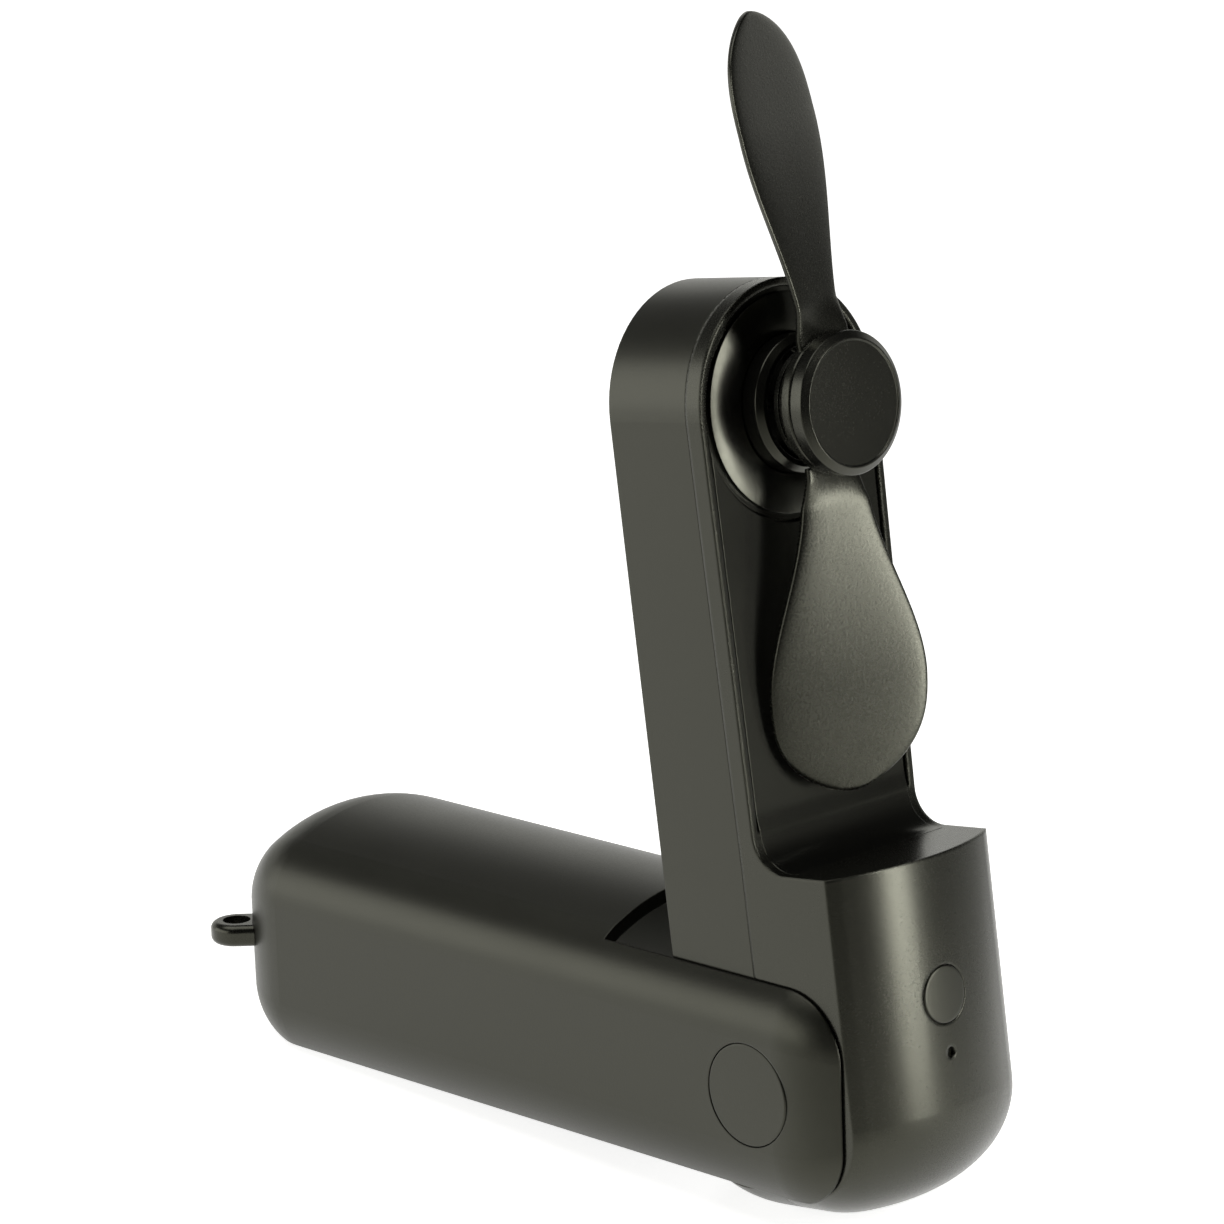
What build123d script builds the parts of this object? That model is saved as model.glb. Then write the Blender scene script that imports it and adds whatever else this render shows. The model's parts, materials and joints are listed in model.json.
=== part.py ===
from build123d import *
import math
import os

# Folding pocket fan standing on its opened cover, in millimetres, +Z up.
# The fan arm stands on the cover, the cover runs back along +Y, the blades face -Y.
# Pieces are drawn about the fold pivot: arm pieces with the arm along +Z, cover
# pieces with the cover along +Y. They are tilted into the desk pose at the end.

# Driving dimensions
motor_height = 100.0      # motor axis above the fold pivot
arm_width = 35.0          # across the flat sides of the arm
head_width = 37.0         # across the arm's round head
body_width = 43.5         # across the closed fan, over the cover's cheeks
body_rise = 21.65         # pivot axis to the crown of the closed fan, front and back
crown_radius = 36.0       # curve of the crowns across the fan
corner_radius = 11.0      # rounding between the crowns and the sides
nose_reach = 21.2         # pivot to the rounded bottom of the arm
nose_round = 16.0         # rounding at both ends of the closed fan
shoulder_height = 32.8    # pivot to the top of the thick lower block
shoulder_fillet = 5.5     # hollow corner above the block
face_depth = 3.05         # arm's front rim ahead of the pivot axis
arm_wall = 1.8            # wall of the arm housings
face_wall = 2.65          # wall behind the front rim
fold_back = 6.52          # arm's lean over the cover, from square

# Face panel and motor ring
panel_rim = 1.2           # width of the rim around the panel
panel_pocket = 1.2        # depth of the panel's pocket
panel_thickness = 0.9
panel_gap = 0.12          # between panel, ring and their pocket
panel_foot = 0.5          # panel's lower edge above the hollow corner
ring_opening = 14.9       # radius of the opening for the motor ring
ring_back = 1.9           # rear face of the motor ring behind the pivot axis
boss_radius = 10.3
boss_wall = 2.0
boss_front = 7.1          # motor boss ahead of the pivot axis
ring_ledge = 0.7          # flat ledge outside the ring's rounded front
ring_ledge_thickness = 0.6
ring_roll = 3.4           # width of the ring's rounded front
ring_proud = 1.2          # crest of the ring ahead of the face
ring_inner_front = 4.0    # ring's front beside the boss
boss_edge = 0.8           # chamfer at the boss's mouth

# Motor
motor_radius = 12.2
motor_length = 12.3
motor_wall = 0.8
motor_cap_length = 1.6
shaft_radius = 1.0
shaft_play = 0.04
bush_radius = 2.6
bush_front = 1.5          # bush ahead of the can
magnet_thickness = 1.9
armature_radius = 8.2
armature_length = 8.0
armature_room = 1.4       # free space in front of armature and magnets
armature_slot = 2.0
armature_core = 5.6       # radius left under the winding slots
magnet_split = 6.0        # between the two magnets
terminal_x = 4.0
terminal_drop = 8.2       # terminals below the motor axis
terminal_length = 2.2
terminal_width = 2.0
terminal_thickness = 0.4
cap_bore_floor = 0.6
skirt_wall = 1.3
skirt_length = 7.0
part_gap = 0.1            # between pieces that sit in one another
press_gap = 0.02          # where a piece is pressed on another

# Rotor
hub_radius = 10.6
hub_front = 15.7          # front rim of the hub ahead of the pivot axis
hub_thickness = 2.4
hub_bevel = 0.7
hub_face_radius = 9.2
journal_radius = 5.0
journal_play = 0.05
blade_ring_radius = 8.6
folding_ring_radius = 10.4
blade_ring_thickness = 2.0
ring_play = 0.1
core_flange = 0.8
spigot_radius = 3.0
spigot_length = 1.4
blade_reach = 58.2        # blade tip from the motor axis
blade_thickness = 1.3
blade_root_width = 10.4
blade_width = 24.2
blade_wide_at = 42.0      # widest place of a blade from the motor axis
blade_waist_at = 24.0
blade_waist_spread = 4.9  # waist wider than the root
blade_pitch = 19.8
blade_neck_pitch = 15.0
blade_neck_end = 15.0
blade_bow = 3.0           # tip curved back towards the arm
blade_tilt = 6.0          # folding blade's swing from the arm's line at rest

# Cover
cover_length = 122.5      # pivot to the far end
cover_wall = 2.2
rim_drop = 16.0           # rim below the cover's axis
side_play = 0.35          # between the arm's flat sides and the cover's cheeks
slot_play = 0.5
cheek_end = 20.0          # solid cheek around the pivot

# Fold hinge
cap_radius = 8.0
cap_play = 0.1
cap_seat = 1.8            # cap's seat below the outside of the cheek
pin_head_radius = 4.6
pin_head_thickness = 1.1
pin_radius = 3.0
pin_length = 6.6          # inside the arm
pin_play = 0.05
bush_wall = 1.5
bush_length = 5.6
washer_radius = 7.4
washer_thickness = 0.8
washer_seat = 0.5
clip_thickness = 0.6
clip_radius = 4.3
clip_groove = 0.5
clip_mouth = 3.0

# Lanyard loop on the rounded left corner of the cover's far end
loop_turn = 45.0          # from straight back towards the left side
loop_rise = 1.2           # above the cover's axis
loop_radius = 4.3
loop_hole = 2.3
loop_thickness = 3.6
loop_offset = 2.7         # centre of the hole beyond the corner's surface
loop_sink = 1.5           # loop's foot drawn below the surface before it is fitted to it
loop_edge = 1.2
loop_stem = 1.5
loop_stem_head = 2.8
loop_stem_head_length = 1.2
loop_head_room = 0.5      # between the stem's head and the curved wall
loop_hold = 5.0           # hole for the stem starts inside the corner

# Power button, status light and board
button_height = 12.0
button_radius = 4.3
button_play = 0.12
button_travel = 0.4
button_proud = 0.15
button_flange = 0.9
button_flange_thickness = 0.9
button_flange_room = 0.55 # flange behind the inside of the block's front wall
plunger_radius = 1.3
light_height = 3.2
light_radius = 0.8
light_recess = 0.7
board_thickness = 1.2
board_width = 22.0
board_low = -6.5
board_room = 5.3          # top of the board below the shoulder
plunger_room = 2.0        # between the button's flange and the switch's stem
switch_size = 6.0
switch_body = 3.3
switch_stem = 0.7
switch_stem_radius = 1.7
led_size = 1.8
led_thickness = 0.9
chip_size = 5.0
chip_thickness = 1.3
chip_height = 14.0
coil_size = 4.0
coil_thickness = 2.4
coil_place = (-6.0, 6.0)
capacitor_size = (1.6, 0.9, 1.0)
capacitor_x = 4.8
capacitor_heights = (19.0, 22.0, 25.0)
board_post_radius = 2.2

# Battery
cell_radius = 9.1
cell_length = 50.0
cell_room = 7.4           # between the cell and the motor's skirt
cell_centre = 9.6         # behind the pivot axis
rib_thickness = 1.5
tab_thickness = 0.3
tab_half_width = 3.0
tab_reach = (-6.0, 3.0)   # tab ends from the cell's centre
pad_width = 10.0
pad_depth = 3.0           # how far the pad wraps the cell
pad_foot = 1.0            # above the shoulder
pad_end = 14.0            # below the cell's top
cell_rib_end = 3.0

# Charging socket
socket_height = 9.0
socket_width = 9.0
socket_thickness = 3.2
socket_length = 7.4
socket_inset = 0.8
socket_wall = 0.35
socket_play = 0.15
tongue_thickness = 0.7
tongue_margin = 1.6
charge_board_inset = 1.0  # behind the inside of the rear wall
charge_board_width = 12.6
charge_board_length = 14.0
charge_board_thickness = 1.2

# Housing screws
screw_radius = 0.95
screw_length = 11.5
screw_head_radius = 1.8
screw_head_thickness = 1.3
screw_boss_radius = 2.2
screw_split = 6.0         # where front and rear bosses meet
screw_head_at = 13.5
cross_width = 0.5
cross_length = 2.4
cross_depth = 0.5
upper_screws_x = 13.0
upper_screws_rise = 0.2   # lower pair of the stem above the shoulder
upper_screws_drop = 24.0  # upper pair of the stem below the motor axis
lower_screws_x = 9.5
lower_screws_z = -12.0
motor_screw_radius = 0.9
motor_screw_circle = 6.6
motor_screw_length = 3.0
motor_screw_head = 1.0
motor_screw_head_radius = 1.6
boss_floor = 1.2
lead_radius = 0.6
lead_bend = 2.5
lead_inset = 0.8          # outer leads inside the cell's radius
lead_pitch = 1.6
lead_y = 1.1              # where the leads run beside the cell
lead_out = 4.5            # straight run out of the board
lead_start = 15.8         # on the board, below the shoulder
lead_knee = 7.3           # bend towards the cell, below the shoulder
lead_rises = (0.38, 0.52, 0.88)   # turns of a motor lead, as shares of the room above the cell

# Worked out
body_half = body_width / 2
arm_half = arm_width / 2
head_half = head_width / 2
slot_half = arm_half + side_play
slot_end = shoulder_height + slot_play
nose_flat = body_rise - nose_round
motor_front = ring_back + part_gap
motor_back = motor_front + motor_length
skirt_in = motor_radius + part_gap
skirt_out = skirt_in + skirt_wall
cell_low = motor_height - skirt_out - cell_room - cell_length
cell_top = cell_low + cell_length
button_flange_front = body_rise - arm_wall - button_flange_room
plunger_tip = button_flange_front - button_flange_thickness - plunger_room
board_front = plunger_tip - switch_stem - switch_body
board_high = shoulder_height - board_room
charge_board_back = body_rise - arm_wall - charge_board_inset
upper_screws_z = (shoulder_height + upper_screws_rise, motor_height - upper_screws_drop)
nose_steps = 6
roll_steps = 8
bow_steps = 8
far = 60.0 + motor_height


def arm_support(lean):
    """Height of the pivot when the arm's rounded bottom rests on a floor."""
    angle = math.radians(lean)
    side = nose_flat * math.sin(angle)
    down = (nose_reach - nose_round) * math.cos(angle)
    return side + down + nose_round


def cover_slope():
    """Angle at which the cover's far rim and the arm's bottom share one floor."""
    drop = rim_drop - nose_flat
    rim_far = cover_length - nose_round + math.sqrt(nose_round ** 2 - drop ** 2)
    slope = 0.0
    for _ in range(40):
        height = arm_support(fold_back + slope)
        rise = height - rim_drop * math.cos(math.radians(slope))
        slope = math.degrees(math.asin(rise / rim_far))
    return slope


def along_y(radius, front, back, x=0.0, z=0.0):
    """Cylinder with its axis along Y, from y = front to y = back."""
    rod = Cylinder(radius, back - front)
    return Pos(x, (front + back) / 2, z) * Rot(X=90) * rod


def along_x(radius, start, end, y=0.0, z=0.0):
    """Cylinder with its axis along X, between two x places."""
    rod = Cylinder(radius, abs(end - start))
    return Pos((start + end) / 2, y, z) * Rot(Y=90) * rod


def block(x, y, z):
    """Box between pairs of x, y and z places."""
    size = Box(x[1] - x[0], y[1] - y[0], z[1] - z[0])
    return Pos((x[0] + x[1]) / 2, (y[0] + y[1]) / 2, (z[0] + z[1]) / 2) * size


def body_section(inset, scale):
    """Section of the closed fan: two crowns, straight sides, round corners."""
    half = (body_half - inset) * scale
    rise = (body_rise - inset) * scale
    crown = (crown_radius - inset) * scale
    drop = crown - rise
    crowns = (Pos(0, -drop) * Circle(crown)) & (Pos(0, drop) * Circle(crown))
    section = crowns & Rectangle(2 * half, 4 * rise)
    return fillet(section.vertices(), (corner_radius - inset) * scale)


def body_nose(inset):
    """Rounded end of the closed fan, from z = 0 down to the rounding's depth."""
    rounding = nose_round - inset
    half = body_half - inset
    sections = []
    for step in range(nose_steps + 1):
        turn = math.radians(90 * step / nose_steps)
        shrink = rounding * (1 - math.cos(turn))
        sections.append(Pos(0, 0, -rounding * math.sin(turn)) * body_section(inset, 1 - shrink / half))
    return loft(sections)


def body_bar(inset, nose, top):
    """Body of the closed fan about Z with its rounded end at z = -nose."""
    start = nose_round - nose
    straight = Pos(0, 0, start) * extrude(body_section(inset, 1), top - start)
    return straight + Pos(0, 0, start) * body_nose(inset)


def arm_prism(inset):
    """Prism of the arm's outline: straight sides that spread from the shoulder to the head."""
    half = arm_half - inset
    wide = head_half - inset
    side = [(half, -far), (half, shoulder_height), (wide, motor_height)]
    outline = Polygon(*side, *[(-x, z) for x, z in reversed(side)], align=None)
    return extrude(Plane.XZ * outline, far, both=True)


def arm_form(inset, face_inset):
    """Outer form of the arm, or its hollow when inset."""
    wide = head_half - inset
    bar = body_bar(inset, nose_reach, motor_height)
    stem = bar & arm_prism(inset)
    section = body_section(inset, 1) & (Pos(wide / 2, 0) * Rectangle(wide, far))
    dome = revolve(section, Axis.Y, 360)
    head = (Pos(0, 0, motor_height) * dome) & block((-far, far), (-far, far), (motor_height, far * 2))
    face = -face_depth + face_inset
    floor = shoulder_height - inset
    recess = block((-far, far), (-far, face), (floor, far * 2))
    corner = recess.edges().filter_by(Axis.X).group_by(Axis.Z)[0].sort_by(Axis.Y)[-1]
    recess = fillet(corner, shoulder_fillet + inset)
    return stem + head - recess


def cover_form(inset, depth):
    """Outer form of the cover down to a depth, or its hollow when inset."""
    middle = (cover_length - nose_reach) / 2
    near = body_bar(inset, nose_reach, middle)
    rear = Pos(0, 0, 2 * middle) * mirror(near, Plane.XY)
    whole = Rot(X=-90) * (near + rear)
    return whole & block((-far, far), (-far, far * 2), (-depth, far))


def screw_places():
    """Housing screw places in x and z."""
    places = [(-lower_screws_x, lower_screws_z), (lower_screws_x, lower_screws_z)]
    for height in upper_screws_z:
        places += [(-upper_screws_x, height), (upper_screws_x, height)]
    return places


def rear_housing():
    hollow = arm_form(arm_wall, face_wall)
    shell = arm_form(0, 0) - hollow
    rear = block((-far, far), (0, far), (-far, far * 2))
    body = shell & rear
    inside = hollow & rear
    for x, z in screw_places():
        body += along_y(screw_boss_radius, screw_split, far / 2, x, z) & inside
    ribs = (cell_low + rib_thickness, cell_low + cell_length / 2, cell_top - cell_rib_end)
    for height in ribs:
        rib = block((-head_half, head_half), (cell_centre, far / 2), (height, height + rib_thickness))
        cell = Pos(0, cell_centre, 0) * Cylinder(cell_radius + part_gap, far * 3)
        body += (rib & inside) - cell
    shelf_top = socket_height - socket_thickness / 2 - charge_board_thickness
    shelf_low = shelf_top - rib_thickness
    shelf_half = charge_board_width / 2
    shelf_front = charge_board_back - charge_board_length
    shelf = block((-shelf_half, shelf_half), (shelf_front, far / 2), (shelf_low, shelf_top))
    body += shelf & inside
    for x, z in screw_places():
        body -= along_y(screw_radius, 0, far / 2, x, z)
        body -= along_y(screw_head_radius + part_gap, screw_head_at, far / 2, x, z)
    port_half = socket_width / 2 + socket_play
    port_rise = socket_thickness / 2 + socket_play
    port_z = (socket_height - port_rise, socket_height + port_rise)
    body -= block((-port_half, port_half), (charge_board_back, far / 2), port_z)
    return body - hinge_holes()


def hinge_holes():
    """Bush holes and washer seats in both flat sides of the arm."""
    bush = along_x(pin_radius + pin_play + bush_wall, -far / 2, far / 2)
    seats = along_x(washer_radius + part_gap, arm_half - washer_seat, far / 2)
    seats += along_x(washer_radius + part_gap, -far / 2, washer_seat - arm_half)
    return bush + seats


def hinge_bosses(inside):
    """Bosses on the inner walls that carry the hinge bushes."""
    outer = pin_radius + pin_play + 2 * bush_wall
    bosses = along_x(outer, arm_half - bush_length, arm_half)
    bosses += along_x(outer, -arm_half, bush_length - arm_half)
    return bosses & inside


def panel_outline(inset):
    """Prism of the face panel's outline, inset from the rim."""
    foot = shoulder_height + shoulder_fillet + panel_foot + inset
    stem = arm_prism(panel_rim + inset) & block((-far, far), (-far, far), (foot, motor_height))
    return stem + along_y(head_half - panel_rim - inset, -far, far, 0, motor_height)


def front_housing():
    hollow = arm_form(arm_wall, face_wall)
    shell = arm_form(0, 0) - hollow
    front = block((-far, far), (-far, 0), (-far, far * 2))
    body = shell & front
    inside = hollow & front
    for x, z in screw_places():
        body += along_y(screw_boss_radius, -far / 2, 0, x, z) & inside
        body += along_y(screw_boss_radius, -part_gap, screw_split - part_gap, x, z)
    board_back = -board_front + board_thickness
    for x in (-board_width / 2 + board_post_radius, board_width / 2 - board_post_radius):
        post = along_y(board_post_radius, -far / 2, -board_front, x, board_high - board_post_radius)
        body += post & inside
    pocket = block((-far, far), (-far, -face_depth + panel_pocket), (-far, far * 2))
    body -= panel_outline(0) & pocket
    body -= along_y(ring_opening, -far, far, 0, motor_height)
    for x, z in screw_places():
        body -= along_y(screw_radius, screw_head_at - screw_length - 1, screw_split, x, z)
    body -= along_y(button_radius + button_play, -far, -board_front, 0, button_height)
    body -= along_y(light_radius + part_gap / 2, -far, -board_front, 0, light_height)
    return body - hinge_holes()


def housing_hinge_half(housing, rear):
    """Adds the half of the hinge bosses that lies on one side of the seam."""
    hollow = arm_form(arm_wall, face_wall)
    reach = (0, far) if rear else (-far, 0)
    side = block((-far, far), reach, (-far, far * 2))
    return housing + ((hinge_bosses(hollow) & side) - hinge_holes())


def face_panel():
    back = -face_depth + panel_pocket
    slab = block((-far, far), (back - panel_thickness, back), (-far, far * 2))
    ring = along_y(head_half - panel_rim + panel_gap, -far, far, 0, motor_height)
    body = (panel_outline(panel_gap) & slab) - ring
    return max(body.solids(), key=lambda piece: piece.volume)


def turned(points):
    """Solid turned about the motor axis from (radius, y) points."""
    outline = Polygon(*points, align=None)
    turned_piece = revolve(outline, Axis.Y, 360)
    return Pos(0, 0, motor_height) * turned_piece


def motor_ring():
    outer = head_half - panel_rim - panel_gap
    inner = boss_radius + part_gap
    seat = -face_depth + panel_pocket
    neck = ring_opening - part_gap
    foot = outer - ring_ledge
    ledge = seat - ring_ledge_thickness
    rise = face_depth + ring_proud + ledge
    points = [(outer, seat), (outer, ledge)]
    for step in range(roll_steps + 1):
        turn = math.radians(90 * step / roll_steps)
        points.append((foot - ring_roll * (1 - math.cos(turn)), ledge - rise * math.sin(turn)))
    points += [(inner, -ring_inner_front), (inner, ring_back), (skirt_in, ring_back)]
    points += [(skirt_in, ring_back + skirt_length), (skirt_out, ring_back + skirt_length)]
    points += [(skirt_out, ring_back), (neck, ring_back), (neck, seat)]
    return turned(points)


def motor_boss():
    tube = along_y(boss_radius, -boss_front, ring_back, 0, motor_height)
    front_edge = tube.edges().group_by(Axis.Y)[0]
    tube = chamfer(front_edge, boss_edge)
    tube -= along_y(boss_radius - boss_wall, -far, ring_back - boss_floor, 0, motor_height)
    tube -= along_y(bush_radius + part_gap, -far, far, 0, motor_height)
    for x in (-motor_screw_circle, motor_screw_circle):
        tube -= along_y(motor_screw_radius + part_gap, -far, far, x, motor_height)
    return tube


def motor_can():
    can = along_y(motor_radius, motor_front, motor_back, 0, motor_height)
    can -= along_y(motor_radius - motor_wall, motor_front + motor_wall, motor_back, 0, motor_height)
    can -= along_y(bush_radius, -far, motor_back, 0, motor_height)
    for x in (-motor_screw_circle, motor_screw_circle):
        can -= along_y(motor_screw_radius, -far, motor_back, x, motor_height)
    return can


def motor_bush():
    front = motor_front - bush_front
    bush = along_y(bush_radius, front, motor_front + motor_wall, 0, motor_height)
    return bush - along_y(shaft_radius + shaft_play, -far, far, 0, motor_height)


def motor_magnets():
    """Two curved magnets against the can's wall."""
    front = motor_front + motor_wall + armature_room
    outer = motor_radius - motor_wall - part_gap / 2
    ring = along_y(outer, front, front + armature_length, 0, motor_height)
    ring -= along_y(outer - magnet_thickness, -far, far, 0, motor_height)
    gap = block((-far, far), (-far, far), (motor_height - magnet_split / 2, motor_height + magnet_split / 2))
    return ring - gap


def motor_armature():
    front = motor_front + motor_wall + armature_room
    core = along_y(armature_radius, front, front + armature_length, 0, motor_height)
    for step in range(3):
        slot = block((-armature_slot / 2, armature_slot / 2), (-far, far), (armature_core, far))
        core -= Pos(0, 0, motor_height) * Rot(Y=120 * step) * slot
    return core - along_y(shaft_radius, -far, far, 0, motor_height)


def motor_end_cap():
    plug_radius = motor_radius - motor_wall - part_gap / 2
    cap = along_y(plug_radius, motor_back - motor_wall, motor_back, 0, motor_height)
    cap += along_y(motor_radius - part_gap, motor_back, motor_back + motor_cap_length, 0, motor_height)
    hollow_back = motor_back + motor_cap_length - cap_bore_floor
    cap -= along_y(shaft_radius + shaft_play, -far, hollow_back, 0, motor_height)
    return cap


def motor_terminals():
    back = motor_back + motor_cap_length
    top = motor_height - terminal_drop + terminal_thickness
    half = terminal_width / 2
    tabs = []
    for x in (-terminal_x, terminal_x):
        across = (x - half, x + half)
        tabs.append(block(across, (back, back + terminal_length), (top - terminal_thickness, top)))
    return Compound(children=tabs)


def motor_screws():
    screws = []
    head_back = ring_back - boss_floor
    for x in (-motor_screw_circle, motor_screw_circle):
        head_front = head_back - motor_screw_head
        head = along_y(motor_screw_head_radius, head_front, head_back, x, motor_height)
        shank = along_y(motor_screw_radius, head_back, head_back + motor_screw_length, x, motor_height)
        screws.append(head + shank)
    return Compound(children=screws)


def motor_shaft():
    rear = motor_back + motor_cap_length - cap_bore_floor - part_gap
    front = -hub_front + hub_thickness - hub_bevel + part_gap
    return along_y(shaft_radius, front, rear, 0, motor_height)


def stack_places():
    """Front faces of the folding ring, the fixed ring and the core's flange."""
    folding = -hub_front + hub_thickness + ring_play
    fixed = folding + blade_ring_thickness + ring_play
    flange = fixed + blade_ring_thickness
    return folding, fixed, flange


def rotor_hub():
    """Core that carries both blades and the cap, pressed on the shaft."""
    flange = stack_places()[2]
    front = -hub_front + hub_thickness
    core = along_y(journal_radius, front, flange, 0, motor_height)
    core += along_y(blade_ring_radius, flange, flange + core_flange, 0, motor_height)
    core -= along_y(spigot_radius, front - 1, front + spigot_length, 0, motor_height)
    return core - along_y(shaft_radius, -far, far, 0, motor_height)


def hub_cap():
    back = -hub_front + hub_thickness
    points = [(0, back), (hub_radius, back), (hub_radius, -hub_front)]
    points += [(hub_face_radius, -hub_front - hub_bevel), (0, -hub_front - hub_bevel)]
    cap = turned(points)
    cap += along_y(spigot_radius - part_gap / 2, back, back + spigot_length / 3, 0, motor_height)
    return cap - along_y(shaft_radius + part_gap, back - hub_bevel, far, 0, motor_height)


def blade(middle, bore, ring_radius):
    """One blade with its ring, pointing up from the motor axis; middle is its y."""
    half = blade_width / 2 + blade_thickness
    strip = Rectangle(2 * half, blade_thickness)
    sections = [strip, Pos(0, 0, hub_radius) * strip]
    for step in range(bow_steps + 1):
        height = blade_neck_end + (blade_reach + blade_thickness - blade_neck_end) * step / bow_steps
        twist = min(1, (height - blade_neck_end) / (blade_wide_at - blade_neck_end))
        pitch = blade_neck_pitch + (blade_pitch - blade_neck_pitch) * twist
        bow = blade_bow * ((height - blade_neck_end) / (blade_reach - blade_neck_end)) ** 2
        sections.append(Pos(0, bow, height) * Rot(Z=pitch) * strip)
    strip = loft(sections, ruled=True)
    root = blade_root_width / 2
    low = journal_radius + blade_thickness
    waist = (root + blade_waist_spread / 2, blade_waist_at)
    widest = (blade_width / 2, blade_wide_at)
    right = Spline((root, hub_radius), waist, widest, (0, blade_reach), tangents=((0.05, 1), (-1, 0)))
    left = mirror(right, Plane.YZ)
    foot = Polyline((root, hub_radius), (root, low), (-root, low), (-root, hub_radius))
    outline = make_face(Curve() + [right, foot, left])
    plate = extrude(Plane.XZ * outline, far, both=True)
    shaped = Pos(0, middle, 0) * (strip & plate)
    hub = along_y(ring_radius, middle - blade_ring_thickness / 2, middle + blade_ring_thickness / 2)
    return shaped + hub - along_y(bore, -far, far)


def fixed_blade():
    middle = stack_places()[1] + blade_ring_thickness / 2
    return Pos(0, 0, motor_height) * Rot(Y=180) * blade(middle, journal_radius + press_gap, blade_ring_radius)


def folding_blade():
    middle = stack_places()[0] + blade_ring_thickness / 2
    return Pos(0, 0, motor_height) * Rot(Y=-blade_tilt) * blade(middle, journal_radius + journal_play, folding_ring_radius)


def power_button():
    front = along_y(button_radius, -far / 2, -button_flange_front, 0, button_height)
    body = front & extrude(body_section(-button_proud, 1), far)
    flange_back = -button_flange_front + button_flange_thickness
    body += along_y(button_radius + button_flange, -button_flange_front, flange_back, 0, button_height)
    plunger_end = -plunger_tip - button_travel - part_gap
    return body + along_y(plunger_radius, -button_flange_front, plunger_end, 0, button_height)


def light_guide():
    led_front = -(board_front + led_thickness)
    return along_y(light_radius, light_recess - body_rise, led_front - part_gap, 0, light_height)


def circuit_board():
    return block((-board_width / 2, board_width / 2), (-board_front, -board_front + board_thickness),
                 (board_low, board_high))


def tact_switch():
    half = switch_size / 2
    front = -(board_front + switch_body)
    body = block((-half, half), (front, -board_front), (button_height - half, button_height + half))
    return body + along_y(switch_stem_radius, front - switch_stem, front, 0, button_height)


def status_led():
    half = led_size / 2
    return block((-half, half), (-(board_front + led_thickness), -board_front),
                 (light_height - half, light_height + half))


def board_components():
    """Chip, coil and capacitors on the rear of the control board."""
    back = -board_front + board_thickness
    half = chip_size / 2
    coil_x, coil_z = coil_place
    coil = coil_size / 2
    wide, thick, tall = capacitor_size
    chip_rise = (chip_height - half, chip_height + half)
    parts = [block((-half, half), (back, back + chip_thickness), chip_rise)]
    coil_rise = (coil_z - coil, coil_z + coil)
    parts.append(block((coil_x - coil, coil_x + coil), (back, back + coil_thickness), coil_rise))
    for z in capacitor_heights:
        side = (capacitor_x - wide / 2, capacitor_x + wide / 2)
        parts.append(block(side, (back, back + thick), (z - tall / 2, z + tall / 2)))
    return Compound(children=parts)


def battery_cell():
    return Pos(0, cell_centre, cell_low + cell_length / 2) * Cylinder(cell_radius, cell_length)


def battery_tabs():
    across = (-tab_half_width, tab_half_width)
    along = (cell_centre + tab_reach[0], cell_centre + tab_reach[1])
    tabs = [block(across, along, (cell_top, cell_top + tab_thickness))]
    tabs.append(block(across, along, (cell_low - tab_thickness, cell_low)))
    return Compound(children=tabs)


def battery_pad():
    """Foam strip between the cell and the front housing."""
    front = -face_depth + face_wall
    pad = block((-pad_width / 2, pad_width / 2), (front, cell_centre - cell_radius + pad_depth),
                (shoulder_height + pad_foot, cell_top - pad_end))
    cell = Pos(0, cell_centre, 0) * Cylinder(cell_radius + part_gap / 2, far * 3)
    return pad - cell


def charging_board():
    top = socket_height - socket_thickness / 2
    front = charge_board_back - charge_board_length
    half = charge_board_width / 2
    return block((-half, half), (front, charge_board_back), (top - charge_board_thickness, top))


def usb_socket():
    low = socket_height - socket_thickness / 2
    back = body_rise - socket_inset
    half = socket_width / 2
    shell = block((-half, half), (back - socket_length, back), (low, low + socket_thickness))
    edges = shell.edges().filter_by(Axis.Y)
    shell = fillet(edges, socket_thickness / 2 - part_gap)
    inner_end = back - socket_length + socket_wall
    mouth = block((socket_wall - half, half - socket_wall), (inner_end, far),
                  (low + socket_wall, low + socket_thickness - socket_wall))
    mouth = fillet(mouth.edges().filter_by(Axis.Y), socket_thickness / 2 - socket_wall - part_gap)
    tongue = block((tongue_margin - half, half - tongue_margin), (inner_end - part_gap, back - socket_wall),
                   (socket_height - tongue_thickness / 2, socket_height + tongue_thickness / 2))
    return (shell - mouth) + tongue


def housing_screws():
    screws = []
    for x, z in screw_places():
        head = along_y(screw_head_radius, screw_head_at, screw_head_at + screw_head_thickness, x, z)
        shank = along_y(screw_radius, screw_head_at - screw_length, screw_head_at, x, z)
        across = (-cross_width / 2, cross_width / 2)
        slot = block(across, (0, 2 * cross_depth), (-cross_length / 2, cross_length / 2))
        cross = slot + Rot(Y=90) * slot
        head -= Pos(x, screw_head_at + screw_head_thickness - cross_depth, z) * cross
        screws.append(head + shank)
    return Compound(children=screws)


def lead(points):
    """Insulated lead along straight runs joined by arcs."""
    path = FilletPolyline(*points, radius=lead_bend)
    start = path @ 0
    profile = Plane(origin=start, z_dir=path % 0) * Circle(lead_radius)
    return sweep(profile, path=path)


def lead_path(x):
    """Run of a lead from the control board to beside the cell."""
    board_back = -board_front + board_thickness
    start = shoulder_height - lead_start
    knee = shoulder_height - lead_knee
    return [(x, board_back + part_gap, start), (x, board_back + lead_out, start), (x, lead_y, knee)]


def motor_lead(x, end_x):
    """From the control board up beside the cell to a motor terminal."""
    end_y = motor_back + motor_cap_length + terminal_length / 2
    end_z = motor_height - terminal_drop - part_gap
    low, middle, high = (cell_top + cell_room * rise for rise in lead_rises)
    points = lead_path(x) + [(x, lead_y, low), (x, cell_centre - 2 * lead_radius, middle)]
    points += [(end_x, end_y, high), (end_x, end_y, end_z)]
    return lead(points)


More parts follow.
